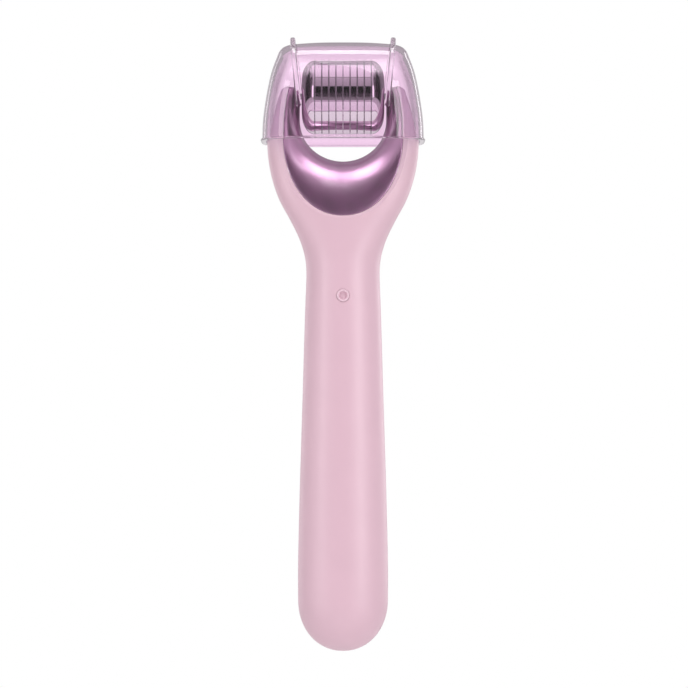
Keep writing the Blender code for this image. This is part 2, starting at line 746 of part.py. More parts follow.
def main():
    for old in list(bpy.data.objects):
        bpy.data.objects.remove(old)
    pink = make_material("pink_soft_touch", (0.74, 0.47, 0.56), 0.45)
    plated = make_material("lilac_plated", (0.50, 0.27, 0.44), 0.2, metallic=1.0)
    bright = make_material("bright_plated", (0.85, 0.82, 0.85), 0.08, metallic=1.0)
    clear = make_material("clear_lilac", (0.9, 0.62, 0.85), 0.05, alpha=0.35)
    steel = make_material("steel", (0.6, 0.6, 0.62), 0.25, metallic=1.0)
    dark_plastic = make_material("dark_plastic", (0.05, 0.05, 0.055), 0.5)
    white_plastic = make_material("white_plastic", (0.8, 0.8, 0.78), 0.5)
    board_green = make_material("board_green", (0.03, 0.18, 0.08), 0.4)
    cell_wrap = make_material("cell_wrap", (0.08, 0.2, 0.5), 0.35)
    rubber = make_material("rubber", (0.12, 0.12, 0.12), 0.8)
    pink_rubber = make_material("pink_rubber", (0.7, 0.44, 0.53), 0.6)
    red_wire = make_material("red_wire", (0.6, 0.04, 0.04), 0.5)
    black_wire = make_material("black_wire", (0.03, 0.03, 0.03), 0.5)

    add_handle_shells(pink)
    add_fork_insert(plated)
    add_axle(steel)
    add_bushes(white_plastic)
    add_roller(steel, bright, white_plastic)
    add_cap(clear)
    add_power_button(pink)
    add_tact_switch(dark_plastic)
    board = add_board(board_green)
    chassis = add_chassis(white_plastic)
    add_board_screws(board, chassis, steel)
    add_battery(cell_wrap)
    add_motor_mount(rubber)
    add_vibration_motor(steel)
    add_eccentric_weight(steel)
    add_leads(red_wire, black_wire)
    add_charging_socket(steel)
    add_port_cover(pink_rubber)


main()
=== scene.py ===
"""Derma roller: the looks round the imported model.

Each piece that shows is made again at a fine resolution in the place of its CAD node, and the pieces inside
the handle keep their CAD meshes. Points are worked out in millimetres in the model's own frame: +Z up to
the head, the button on -Y and the axle along X.
"""

import json
import math

import bmesh
import bpy
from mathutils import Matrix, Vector


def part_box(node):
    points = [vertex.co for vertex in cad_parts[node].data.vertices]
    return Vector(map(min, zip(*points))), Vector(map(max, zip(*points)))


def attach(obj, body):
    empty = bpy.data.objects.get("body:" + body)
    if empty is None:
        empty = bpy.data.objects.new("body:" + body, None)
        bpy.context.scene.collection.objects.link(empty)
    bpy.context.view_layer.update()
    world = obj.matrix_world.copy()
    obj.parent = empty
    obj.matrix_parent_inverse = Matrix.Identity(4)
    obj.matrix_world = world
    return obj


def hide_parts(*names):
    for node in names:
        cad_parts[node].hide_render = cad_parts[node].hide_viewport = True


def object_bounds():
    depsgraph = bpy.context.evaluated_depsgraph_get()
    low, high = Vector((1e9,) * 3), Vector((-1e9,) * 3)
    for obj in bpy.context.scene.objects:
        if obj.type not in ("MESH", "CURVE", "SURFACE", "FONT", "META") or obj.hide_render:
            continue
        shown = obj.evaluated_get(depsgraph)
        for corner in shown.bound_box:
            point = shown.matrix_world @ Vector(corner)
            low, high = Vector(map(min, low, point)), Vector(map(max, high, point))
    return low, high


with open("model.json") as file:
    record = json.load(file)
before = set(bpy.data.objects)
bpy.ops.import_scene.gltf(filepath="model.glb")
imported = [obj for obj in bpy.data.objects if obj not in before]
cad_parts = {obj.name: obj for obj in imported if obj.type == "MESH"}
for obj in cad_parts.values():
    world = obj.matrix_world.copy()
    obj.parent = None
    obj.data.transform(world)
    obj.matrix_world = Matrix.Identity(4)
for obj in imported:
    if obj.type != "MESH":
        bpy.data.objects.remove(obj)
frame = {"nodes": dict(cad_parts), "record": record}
cad_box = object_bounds()

MM = 0.001
SHARP_ANGLE = 35.0  # an edge that turns by more degrees than this is shaded as a corner
RING_POINTS = 160
NOISE_RANGE = (0.3, 0.7)  # where most of a noise's values lie


def reach(node):
    """A node's lowest and highest corner in millimetres."""
    low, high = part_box(node)
    return low / MM, high / MM


# Handle: (height, half-width) and (height, half-depth) of its outside, above the rounded end
HALF_WIDTHS = [
    (13.0, 11.35), (18.0, 11.38), (38.0, 11.0), (63.0, 10.25), (88.0, 9.5), (95.0, 9.25),
    (99.0, 9.55), (103.7, 10.9), (108.7, 13.3), (113.8, 16.05), (118.8, 17.8), (123.9, 18.8),
    (128.4, 19.1), (133.0, 18.5), (137.0, 17.5), (140.5, 16.35), (141.9, 15.7), (142.6, 14.6),
]  # fmt: skip
HALF_DEPTHS = [
    (13.0, 10.2), (18.0, 10.3), (38.0, 9.95), (63.0, 9.3), (88.0, 8.75), (95.0, 8.6),
    (104.0, 8.6), (112.0, 8.7), (118.0, 8.6), (124.0, 8.3), (130.0, 7.8), (134.0, 7.3),
    (138.0, 6.3), (140.5, 5.0), (142.0, 3.4), (142.6, 2.2),
]  # fmt: skip
HANDLE_TOP = reach("handle_front_shell")[1].z
END_HEIGHT = 13.0
END_POWER = 2.1
NECK_POWER = 2.2
FORK_POWER = 4.0
NECK = 94.0
FLARE_FROM = 97.0
FLARE_TO = 117.0
SHELL_WALL = 1.5
CAVITY_BOTTOM = 1.6
CAVITY_TOP = 107.8
SEAM = 0.2
BEYOND = 30.0  # far enough out for a cutter to pass right through

# Fork insert
OPENING_CENTRE = 134.0
OPENING_HALF_WIDTH = 11.0
OPENING_DEPTH = 10.4
TIP_FROM = 138.0
TIP_LEAN = 2.2
INSERT_CENTRE = 130.0
INSERT_HALF_WIDTH = 15.05
INSERT_DROP = 20.4
INSERT_RISE = 30.0
INSERT_POWER = 2.1
INSERT_TOP = reach("fork_insert")[1].z
INSERT_ROUND = 0.15
INSERT_THINNEST = 1.0
BEVEL_SIDE = 1.2  # width of the shell's bevel beside the insert, on the arms
BEVEL_FOOT = 0.5  # and below it
BEVEL_SLOPE = 0.75
POCKET_FIT = 0.06
ARM_STEP = 0.7
SADDLE_STEPS = 96

# Roller
AXLE_HEIGHT = sum(corner.z for corner in reach("axle")) / 2
AXLE_RADIUS = reach("axle")[1].y
AXLE_HALF_LENGTH = reach("axle")[1].x
BUSH_RADIUS = reach("axle_bush_right")[1].y
BORE_RADIUS = AXLE_RADIUS + 0.1
NEEDLES = 60
NEEDLE_WIDTH = 0.5
NEEDLE_TIP = reach("needle_disc_5")[1].z - AXLE_HEIGHT
NEEDLE_ROOT = 9.25
HUB_RADIUS = 3.2
DRUM_RADIUS = reach("end_cap_right")[1].z - AXLE_HEIGHT
DRUM_EDGE = 0.05
DISC_THICKNESS = 0.14
SLOT = 0.04  # between a disc and the drum beside it
END_CAP_FACE = 4.5

# Protective cap
CAP_RIM = reach("protective_cap")[0].z
CAP_TOP = 153.5
CAP_ROOF = 152.2
CAP_CROWN = (153.1, 9.5)
CAP_WALL = 1.0
CAP_HALF_WIDTHS = [
    (128.4, 20.35), (134.0, 20.1), (137.8, 19.6), (141.6, 18.95), (145.4, 18.1), (149.2, 16.8),
    (151.5, 15.7), (152.2, 14.9), (152.7, 13.4), CAP_CROWN,
]  # fmt: skip
CAP_HALF_DEPTH = 14.9
CAP_SHOULDER = 134.0
CAP_SIDE_POWER = 2.6
CAP_PLAN_POWER = 4.0
RIM_BEAD = 0.35
RIM_BEAD_HEIGHT = 0.5
FIN_RADIUS = reach("protective_cap")[1].z - AXLE_HEIGHT
FIN_THICKNESS = 1.3
FIN_ROUND = 0.45
FIN_PLACE = 11.3
FIN_TILT = math.radians(5.5)

# Power button and charging port
BUTTON_HEIGHT = sum(corner.z for corner in reach("power_button")) / 2
BUTTON_TOP = reach("power_button")[0].y
BUTTON_BACK = reach("power_button")[1].y
BUTTON_RADIUS = 1.65
BUTTON_FIT = 0.03
BUTTON_FLANGE = reach("power_button")[1].x
BUTTON_HOLE_BACK = -5.0
PORT_PLACE = sum(corner.y for corner in reach("charging_socket")) / 2
PORT_HALF_WIDTH = reach("charging_socket")[1].x
PORT_HALF_DEPTH = reach("charging_socket")[1].y - PORT_PLACE
PORT_TOP = reach("port_cover")[1].z


# Curves

def through(points, at):
    """The value at one position on a smooth curve through (position, value) points, without overshoot."""
    steps = [(b[0] - a[0], (b[1] - a[1]) / (b[0] - a[0])) for a, b in zip(points, points[1:])]
    slopes = [steps[0][1]]
    for (before, slope_in), (after, slope_out) in zip(steps, steps[1:]):
        turning = slope_in * slope_out <= 0
        mean = (slope_in * after + slope_out * before) / (before + after)
        slopes.append(0.0 if turning else mean)
    slopes.append(steps[-1][1])
    at = min(max(at, points[0][0]), points[-1][0])
    index = max(i for i in range(len(steps)) if points[i][0] <= at)
    length = steps[index][0]
    t = (at - points[index][0]) / length
    start, end = points[index][1], points[index + 1][1]
    return (
        start * (2 * t**3 - 3 * t**2 + 1)
        + slopes[index] * length * (t**3 - 2 * t**2 + t)
        + end * (3 * t**2 - 2 * t**3)
        + slopes[index + 1] * length * (t**3 - t**2)
    )


def ease(low, high, at):
    """0 below low, 1 above high, and a smooth step between."""
    t = min(max((at - low) / (high - low), 0.0), 1.0)
    return t * t * (3 - 2 * t)


def rest_of(share, power):
    """What a superellipse of this power leaves for its other half-axis."""
    return max(1 - abs(share) ** power, 0.0) ** (1 / power)


def signed_power(value, power):
    return math.copysign(abs(value) ** power, value)


def oval(half_x, half_y, power, z, count, centre_y=0.0):
    """One level superellipse ring."""
    ring = []
    for i in range(count):
        angle = 2 * math.pi * i / count
        x = half_x * signed_power(math.cos(angle), 2 / power)
        y = centre_y + half_y * signed_power(math.sin(angle), 2 / power)
        ring.append((x, y, z))
    return ring


def levels_between(low, high, step):
    """Even levels from low up to, and without, high."""
    count = max(1, round((high - low) / step))
    return [low + (high - low) * i / count for i in range(count)]


def arc(centre, radius, start, end, steps):
    """Points (along, out) of an arc, with its angles in degrees from the along axis."""
    points = []
    for i in range(steps + 1):
        turn = math.radians(start + (end - start) * i / steps)
        points.append((centre[0] + radius * math.cos(turn), centre[1] + radius * math.sin(turn)))
    return points


# Meshes

def add_mesh(name, points, faces, sharp):
    """A closed mesh from points in millimetres, shaded smooth except across its sharp edges."""
    mesh = bpy.data.meshes.new(name)
    mesh.from_pydata([Vector(point) * MM for point in points], [], faces)
    shape = bmesh.new()
    shape.from_mesh(mesh)
    bmesh.ops.recalc_face_normals(shape, faces=shape.faces)
    shape.to_mesh(mesh)
    shape.free()
    smooth(mesh, sharp)
    piece = bpy.data.objects.new(name, mesh)
    bpy.context.scene.collection.objects.link(piece)
    return piece


def smooth(mesh, sharp):
    mesh.shade_smooth()
    mesh.set_sharp_from_angle(angle=math.radians(sharp))


def add_loft(name, rings, closed=False, sharp=SHARP_ANGLE):
    """A skin over rings of equal count. A ring of one point is a pole; closed joins the last to the first."""
    points = [point for ring in rings for point in ring]
    starts = [0]
    for ring in rings:
        starts.append(starts[-1] + len(ring))
    pairs = [(i, i + 1) for i in range(len(rings) - 1)]
    if closed:
        pairs.append((len(rings) - 1, 0))
    faces = []
    for low, high in pairs:
        count = max(len(rings[low]), len(rings[high]))
        if count == 1:
            continue
        for i in range(count):
            j = (i + 1) % count
            if len(rings[low]) == 1:
                faces.append((starts[low], starts[high] + j, starts[high] + i))
            elif len(rings[high]) == 1:
                faces.append((starts[low] + i, starts[low] + j, starts[high]))
            else:
                faces.append((starts[low] + i, starts[low] + j, starts[high] + j, starts[high] + i))
    if not closed:
        for index in (0, len(rings) - 1):
            if len(rings[index]) > 1:
                faces.append(tuple(starts[index] + i for i in range(len(rings[index]))))
    return add_mesh(name, points, faces, sharp)


def add_turned(name, profile, segments):
    """A turned piece about local Z, from a closed profile of (along, radius) points."""
    rings = []
    for along, radius in profile:
        if radius == 0:
            rings.append([(0, 0, along)])
        else:
            turns = [2 * math.pi * i / segments for i in range(segments)]
            rings.append([(radius * math.cos(a), radius * math.sin(a), along) for a in turns])
    return add_loft(name, rings, closed=True)


def add_prism(name, outline, low, high, axis="Z"):
    """An outline of (a, b) points extruded between two levels along Z, or along Y with (x, z) points."""
    if axis == "Z":
        rings = [[(a, b, level) for a, b in outline] for level in (low, high)]
    else:
        rings = [[(a, level, b) for a, b in outline] for level in (low, high)]
    return add_loft(name, rings)


def place(piece, location, rotation):
    """Puts a piece where it belongs and leaves its object at the origin, as the CAD nodes are."""
    piece.location = Vector(location) * MM
    piece.rotation_euler = rotation
    bpy.context.view_layer.update()
    piece.data.transform(piece.matrix_world)
    piece.location = (0, 0, 0)
    piece.rotation_euler = (0, 0, 0)
    return piece


def carve(piece, *tools):
    """Applies (operation, tool) Booleans in turn. The tools stay until discard takes them away."""
    for operation, tool in tools:
        modifier = piece.modifiers.new(f"{operation} {tool.name}", "BOOLEAN")
        modifier.operation = operation
        modifier.solver = "EXACT"
        modifier.object = tool
    graph = bpy.context.evaluated_depsgraph_get()
    mesh = bpy.data.meshes.new_from_object(piece.evaluated_get(graph))
    piece.modifiers.clear()
    piece.data = mesh
    smooth(mesh, SHARP_ANGLE)
    return piece


def discard(*tools):
    for tool in tools:
        bpy.data.objects.remove(tool)


def dress(piece, body, slot, *nodes):
    """Rides a piece on its body, in place of its CAD nodes, with its slot's finish."""
    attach(piece, body)
    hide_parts(*nodes)
    piece.data.materials.clear()
    piece.data.materials.append(finishes[slot])
    return piece


def turn_to_x():
    return (0, math.radians(90), 0)


def turn_to_y():
    return (math.radians(-90), 0, 0)


# Finishes

def new_finish(name, colour, roughness, metallic=0.0):
    material = bpy.data.materials.new(name)
    material.use_nodes = True
    shader = material.node_tree.nodes["Principled BSDF"]
    shader.inputs["Base Color"].default_value = (*colour, 1.0)
    shader.inputs["Roughness"].default_value = roughness
    shader.inputs["Metallic"].default_value = metallic
    return material, material.node_tree, shader


def grain(tree, size, detail=2.0, stretch=(1, 1, 1)):
    """A noise over the object's own space, with features about this many millimetres across."""
    place_node = tree.nodes.new("ShaderNodeTexCoord")
    mapping = tree.nodes.new("ShaderNodeMapping")
    mapping.inputs["Scale"].default_value = [1 / (size * MM * s) for s in stretch]
    noise = tree.nodes.new("ShaderNodeTexNoise")
    noise.inputs["Scale"].default_value = 1.0
    noise.inputs["Detail"].default_value = detail
    tree.links.new(place_node.outputs["Object"], mapping.inputs["Vector"])
    tree.links.new(mapping.outputs["Vector"], noise.inputs["Vector"])
    return noise.outputs["Fac"]


def vary(tree, shader, socket, source, low, high):
    """Drives a shader's number between two values from a noise."""
    spread = tree.nodes.new("ShaderNodeMapRange")
    spread.inputs["From Min"].default_value = NOISE_RANGE[0]
    spread.inputs["From Max"].default_value = NOISE_RANGE[1]
    spread.inputs["To Min"].default_value = low
    spread.inputs["To Max"].default_value = high
    tree.links.new(source, spread.inputs["Value"])
    tree.links.new(spread.outputs["Result"], shader.inputs[socket])


def tint(tree, shader, source, dark, light):
    """Drives a shader's colour between two colours from a noise."""
    ramp = tree.nodes.new("ShaderNodeValToRGB")
    for stop, position, colour in zip(ramp.color_ramp.elements, NOISE_RANGE, (dark, light)):
        stop.position = position
        stop.color = (*colour, 1.0)
    tree.links.new(source, ramp.inputs["Fac"])
    tree.links.new(ramp.outputs["Color"], shader.inputs["Base Color"])


def emboss(tree, shader, source, depth):
    """A bump this many millimetres deep."""
    bump = tree.nodes.new("ShaderNodeBump")
    bump.inputs["Strength"].default_value = 1.0
    bump.inputs["Distance"].default_value = depth * MM
    tree.links.new(source, bump.inputs["Height"])
    tree.links.new(bump.outputs["Normal"], shader.inputs["Normal"])


def shade(colour, by):
    return tuple(channel * by for channel in colour)


def moulded(name, colour, roughness, grain_size=0.25, depth=0.004):
    """Injection-moulded plastic or rubber: a fine eroded grain with faintly uneven gloss and colour."""
    material, tree, shader = new_finish(name, colour, roughness)
    tint(tree, shader, grain(tree, 6.0), shade(colour, 0.97), shade(colour, 1.02))
    vary(tree, shader, "Roughness", grain(tree, 3.0), roughness - 0.04, roughness + 0.04)
    emboss(tree, shader, grain(tree, grain_size, 3.0), depth)
    return material


def soft_touch():
    """Satin soft-touch paint: a velvety sheen over a very fine orange peel."""
    colour = (0.735, 0.48, 0.572)
    material, tree, shader = new_finish("pink_soft_touch", colour, 0.42)
    shader.inputs["Specular IOR Level"].default_value = 0.8
    shader.inputs["Sheen Weight"].default_value = 0.02
    shader.inputs["Sheen Roughness"].default_value = 0.4
    shader.inputs["Sheen Tint"].default_value = (1.0, 0.86, 0.92, 1.0)
    tint(tree, shader, grain(tree, 9.0, 3.0), shade(colour, 0.985), shade(colour, 1.01))
    vary(tree, shader, "Roughness", grain(tree, 4.0), 0.4, 0.44)
    emboss(tree, shader, grain(tree, 0.16, 2.0), 0.0012)
    return material


def plated(name, colour, roughness, clear_coat):
    """Vacuum-metallised plastic under a clear lacquer."""
    material, tree, shader = new_finish(name, colour, roughness, metallic=1.0)
    shader.inputs["Coat Weight"].default_value = clear_coat
    shader.inputs["Coat IOR"].default_value = 3.6
    shader.inputs["Coat Roughness"].default_value = 0.27
    vary(tree, shader, "Roughness", grain(tree, 2.5), roughness * 0.92, roughness * 1.08)
    emboss(tree, shader, grain(tree, 3.5, 1.0), 0.0006)
    return material


def clear_plastic():
    """Polished clear plastic tinted lilac."""
    material, _, shader = new_finish("clear_lilac", (0.96, 0.8, 0.93), 0.0)
    shader.inputs["Transmission Weight"].default_value = 1.0
    shader.inputs["IOR"].default_value = 1.49
    return material


def steel(name, colour, roughness, lay):
    """Steel with its grinding marks along one direction."""
    material, tree, shader = new_finish(name, colour, roughness, metallic=1.0)
    marks = grain(tree, 0.1, 3.0, stretch=lay)
    tint(tree, shader, marks, shade(colour, 0.9), shade(colour, 1.05))
    vary(tree, shader, "Roughness", marks, roughness * 0.85, roughness * 1.2)
    return material


def solder_mask():
    """Green solder mask with the faint relief of copper runs under it."""
    colour = (0.03, 0.18, 0.08)
    material, tree, shader = new_finish("board_green", colour, 0.35)
    runs = grain(tree, 1.2, 0.0, stretch=(1, 1, 6))
    tint(tree, shader, runs, shade(colour, 0.7), shade(colour, 1.4))
    emboss(tree, shader, runs, 0.03)
    return material


def shrink_wrap():
    """Blue shrink sleeve, with its small wrinkles."""
    colour = (0.08, 0.2, 0.5)
    material, tree, shader = new_finish("cell_wrap", colour, 0.3)
    tint(tree, shader, grain(tree, 4.0), shade(colour, 0.9), shade(colour, 1.1))
    emboss(tree, shader, grain(tree, 1.5, 2.0, stretch=(1, 1, 4)), 0.02)
    return material


def make_finishes():
    """One finish for each of the record's material slots."""
    return {
        "pink_soft_touch": soft_touch(),
        "lilac_plated": plated("lilac_plated", (0.44, 0.13, 0.36), 0.36, 1.0),
        "bright_plated": plated("bright_plated", (0.9, 0.87, 0.9), 0.04, 0.0),
        "clear_lilac": clear_plastic(),
        "needle_steel": steel("needle_steel", (0.62, 0.6, 0.63), 0.22, (1, 1, 1)),
        "axle_steel": steel("axle_steel", (0.45, 0.43, 0.45), 0.25, (8, 1, 1)),
        "screw_steel": steel("screw_steel", (0.5, 0.5, 0.52), 0.3, (1, 1, 1)),
        "motor_steel": steel("motor_steel", (0.6, 0.6, 0.62), 0.28, (1, 1, 8)),
        "dark_plastic": moulded("dark_plastic", (0.05, 0.05, 0.055), 0.5),
        "white_plastic": moulded("white_plastic", (0.8, 0.8, 0.78), 0.5),
        "board_green": solder_mask(),
        "cell_wrap": shrink_wrap(),
        "grey_rubber": moulded("grey_rubber", (0.12, 0.12, 0.12), 0.8, 0.3, 0.01),
        "pink_rubber": moulded("pink_rubber", (0.71, 0.445, 0.535), 0.55, 0.2, 0.003),
        "red_wire": moulded("red_wire", (0.6, 0.04, 0.04), 0.5),
        "black_wire": moulded("black_wire", (0.03, 0.03, 0.03), 0.5),
    }


def paint_cad_nodes():
    """Gives each CAD node that still shows its slot's finish."""
    for part in frame["record"]["subparts"]:
        node = frame["nodes"][part["node"]]
        node.data.materials.clear()
        node.data.materials.append(finishes[part["material_slot"]])


# Handle

def handle_half_width(z):
    return through(HALF_WIDTHS, z) * rest_of(max(END_HEIGHT - z, 0.0) / END_HEIGHT, END_POWER)


def handle_half_depth(z):
    return through(HALF_DEPTHS, z) * rest_of(max(END_HEIGHT - z, 0.0) / END_HEIGHT, END_POWER)


def handle_power(z):
    return NECK_POWER + (FORK_POWER - NECK_POWER) * ease(FLARE_FROM, FLARE_TO, z)


def handle_face(x, z):
    """How far the handle's front stands from its middle plane."""
    return handle_half_depth(z) * rest_of(x / handle_half_width(z), handle_power(z))


def handle_ring(z, inset=0.0, count=RING_POINTS):
    half_width = handle_half_width(z) - inset
    half_depth = handle_half_depth(z) - inset
    return oval(half_width, half_depth, handle_power(z), z, count)


def add_handle_body(name):
    """The whole outside of the handle and fork."""
    end_turns = [math.radians(angle) for angle in range(4, 90, 5)]
    levels = [END_HEIGHT * (1 - math.cos(turn)) for turn in end_turns]
    levels += levels_between(END_HEIGHT, NECK, 2.5)
    levels += levels_between(NECK, TIP_FROM, 0.8)
    levels += levels_between(TIP_FROM, HANDLE_TOP, 0.35)
    levels.append(HANDLE_TOP)
    return add_loft(name, [[(0, 0, 0)]] + [handle_ring(z) for z in levels])


def add_cavity():
    levels = [CAVITY_BOTTOM, 3, 6, END_HEIGHT, 40, 95, 99, 103.5, CAVITY_TOP]
    return add_loft("cavity", [handle_ring(z, SHELL_WALL, count=60) for z in levels])


def insert_edge(turn, grow):
    """The insert's outer edge in (x, z), where a line from the opening's centre meets it."""
    near, far = 0.0, 2 * INSERT_RISE
    for _ in range(40):
        distance = (near + far) / 2
        x = distance * math.cos(turn)
        z = OPENING_CENTRE - distance * math.sin(turn)
        below = z < INSERT_CENTRE
        power = INSERT_POWER if below else 2.0
        half_height = (INSERT_DROP if below else INSERT_RISE) + grow
        share = abs(x / (INSERT_HALF_WIDTH + grow)) ** power
        share += abs((z - INSERT_CENTRE) / half_height) ** power
        if share < 1:
            near = distance
        else:
            far = distance
    return distance * math.cos(turn), OPENING_CENTRE - distance * math.sin(turn)


def insert_half_width(z, grow):
    return (INSERT_HALF_WIDTH + grow) * rest_of((z - INSERT_CENTRE) / (INSERT_RISE + grow), 2.0)


def outline_point(station, grow):
    """The insert's outer edge at a station: ("arm", side, height) or ("saddle", turn)."""
    if station[0] == "saddle":
        return insert_edge(station[1], grow)
    _, side, z = station
    return side * insert_half_width(z, grow), z


def outline_stations(arm_heights):
    """Stations down the right arm, round the saddle and up the left arm."""
    stations = [("arm", 1, z) for z in sorted(arm_heights, reverse=True)]
    stations += [("saddle", math.pi * i / SADDLE_STEPS) for i in range(SADDLE_STEPS + 1)]
    return stations + [("arm", -1, z) for z in sorted(arm_heights)]


def cutter_stations():
    """Stations that run on past the handle's top, so that a cutter leaves nothing there."""
    above = HANDLE_TOP + 1.5
    return outline_stations(levels_between(OPENING_CENTRE + ARM_STEP, above, ARM_STEP))


def add_pocket():
    """What the insert and the opening take out of the handle: a plain slot through it."""
    outline = [outline_point(station, POCKET_FIT) for station in cutter_stations()]
    return add_prism("pocket", outline, -BEYOND, BEYOND, axis="Y")


def bevel_width(station):
    lean = abs(math.cos(station[1])) if station[0] == "saddle" else 1.0
    return BEVEL_FOOT + (BEVEL_SIDE - BEVEL_FOOT) * lean


def add_bevel_cutter(side):
    """Takes the shell's corner off along the pocket, wide beside the arms and narrow below the insert."""
    rings = []
    for station in cutter_stations():
        width = bevel_width(station)
        depth = BEVEL_SLOPE * width
        inner = outline_point(station, POCKET_FIT)
        outer = outline_point(station, POCKET_FIT + width)
        inner_y = handle_face(*inner) - depth
        outer_y = handle_face(*outer)
        step_y = (outer_y - inner_y) / width
        low = outline_point(station, POCKET_FIT - width)
        high = outline_point(station, POCKET_FIT + 2 * width)
        section = [
            (low, inner_y - step_y * width), (high, outer_y + step_y * width),
            (high, BEYOND), (low, BEYOND),
        ]  # fmt: skip
        rings.append([(x, side * y, z) for (x, z), y in section])
    return add_loft("bevel", rings)


def add_button_hole():
    radius = BUTTON_RADIUS + BUTTON_FIT
    profile = [(-BEYOND, 0), (-BEYOND, radius), (BUTTON_HOLE_BACK, radius), (BUTTON_HOLE_BACK, 0)]
    return place(add_turned("button_hole", profile, 128), (0, 0, BUTTON_HEIGHT), turn_to_y())


def add_port_prism(name, grow, low, high):
    ring = oval(PORT_HALF_WIDTH + grow, PORT_HALF_DEPTH + grow, 5.0, 0, 64, PORT_PLACE)
    return add_prism(name, [(x, y) for x, y, _ in ring], low, high)


def add_handle_skins():
    """Both handle shells, and the rubber cover that fills the port hole flush with the rounded end."""
    cavity = add_cavity()
    pocket = add_pocket()
    button_hole = add_button_hole()
    port_hole = add_port_prism("port_hole", 0.15, -BEYOND, 2 * CAVITY_BOTTOM)
    for name, node, side in (
        ("handle_front_skin", "handle_front_shell", -1),
        ("handle_rear_skin", "handle_rear_shell", 1),
    ):
        near, far = sorted((side * SEAM / 2, side * BEYOND))
        square = [(-BEYOND, near), (BEYOND, near), (BEYOND, far), (-BEYOND, far)]
        half = add_prism("half", square, -BEYOND, HANDLE_TOP + BEYOND)
        bevel = add_bevel_cutter(side)
        skin = add_handle_body(name)
        cuts = [("INTERSECT", half)]
        cuts += [("DIFFERENCE", tool) for tool in (pocket, bevel, cavity, port_hole)]
        if side < 0:
            cuts.append(("DIFFERENCE", button_hole))
        carve(skin, *cuts)
        discard(half, bevel)
        dress(skin, "handle", "pink_soft_touch", node)
    discard(cavity, pocket, button_hole, port_hole)
    cover = add_port_prism("port_cover_skin", 0, -BEYOND, PORT_TOP)
    surface = add_handle_body("surface")
    carve(cover, ("INTERSECT", surface))
    discard(surface)
    dress(cover, "handle", "pink_rubber", "port_cover")


def opening_edge(z):
    """The insert's inner edge on a fork arm, leaning outwards at the arm's tip."""
    lean = 1 - rest_of(max(z - TIP_FROM, 0.0) / (HANDLE_TOP - TIP_FROM), 2.0)
    return OPENING_HALF_WIDTH + TIP_LEAN * lean


def insert_section(inner, outer, recess):
    """One ring of the insert: rounded at its outer edge, then a half-ellipse to its inner one."""
    inner, outer = Vector(inner), Vector(outer)
    length = (inner - outer).length
    half_depth = max(handle_face(*outer) - recess, INSERT_THINNEST)
    radius = min(INSERT_ROUND, length / 4, half_depth / 4)
    start_y = half_depth * math.sqrt(1 - (radius / length) ** 2)
    half = []
    round_steps, face_steps = 5, 22
    for i in range(round_steps):
        turn = math.radians(90) * i / round_steps
        half.append((radius * (1 - math.cos(turn)), start_y - radius * (1 - math.sin(turn))))
    first = math.asin(radius / length)
    for i in range(face_steps + 1):
        turn = first + (math.pi / 2 - first) * i / face_steps
        half.append((length * math.sin(turn), half_depth * math.cos(turn)))
    half[-1] = (length, 0.0)
    both = [(out, -y) for out, y in half] + [(out, y) for out, y in reversed(half[:-1])]
    ring = []
    for out, y in both:
        x, z = outer + (inner - outer) * (out / length)
        ring.append((x, y, z))
    return ring


def inner_point(station):
    """Where a station meets the insert's inner edge."""
    if station[0] == "saddle":
        turn = station[1]
        return OPENING_HALF_WIDTH * math.cos(turn), OPENING_CENTRE - OPENING_DEPTH * math.sin(turn)
    _, side, z = station
    return side * opening_edge(z), z


def add_fork_insert():
    """The plated saddle and its two arms, its outer edge let in to the foot of the shells' bevel."""
    step = 0.45
    arms = levels_between(OPENING_CENTRE + step, INSERT_TOP, step) + [INSERT_TOP]
    rings = []
    for station in outline_stations(arms):
        recess = BEVEL_SLOPE * bevel_width(station)
        rings.append(insert_section(inner_point(station), outline_point(station, 0.0), recess))
    insert = add_loft("fork_insert_plate", rings)
    radius = BUSH_RADIUS + 0.05
    profile = [(-BEYOND, 0), (-BEYOND, radius), (BEYOND, radius), (BEYOND, 0)]
    holes = place(add_turned("bush_holes", profile, 64), (0, 0, AXLE_HEIGHT), turn_to_x())
    carve(insert, ("DIFFERENCE", holes))
    discard(holes)
    dress(insert, "handle", "lilac_plated", "fork_insert")


# Roller

def add_on_axle(name, profile, body, slot, node, segments, flip=False):
    """A turned piece on the axle's line, its profile's along values measured along X."""
    turned = add_turned(name, profile, segments)
    rotation = (0, math.radians(-90), 0) if flip else turn_to_x()
    place(turned, (0, 0, AXLE_HEIGHT), rotation)
    return dress(turned, body, slot, node)


def rounded_tube(low, high, inner, outer, edge):
    """The profile of a tube with a round on its two outer corners."""
    profile = [(low, inner)]
    profile += arc((low + edge, outer - edge), edge, 180, 90, 4)
    profile += [(low + 1.5 * edge, outer), (high - 1.5 * edge, outer)]  # these keep its shading straight
    profile += arc((high - edge, outer - edge), edge, 90, 0, 4)
    return profile + [(high, inner)]


def add_axle():
    edge = 0.15
    half = AXLE_HALF_LENGTH
    profile = [(-half, 0)] + arc((-half + edge, AXLE_RADIUS - edge), edge, 180, 90, 3)
    profile += arc((half - edge, AXLE_RADIUS - edge), edge, 90, 0, 3) + [(half, 0)]
    add_on_axle("axle_pin", profile, "handle", "axle_steel", "axle", 48)
    for side in ("left", "right"):
        low, high = reach(f"axle_bush_{side}")
        profile = rounded_tube(low.x, high.x, BORE_RADIUS, BUSH_RADIUS, 0.12)
        add_on_axle(f"bush_{side}", profile, "handle", "white_plastic", f"axle_bush_{side}", 64)


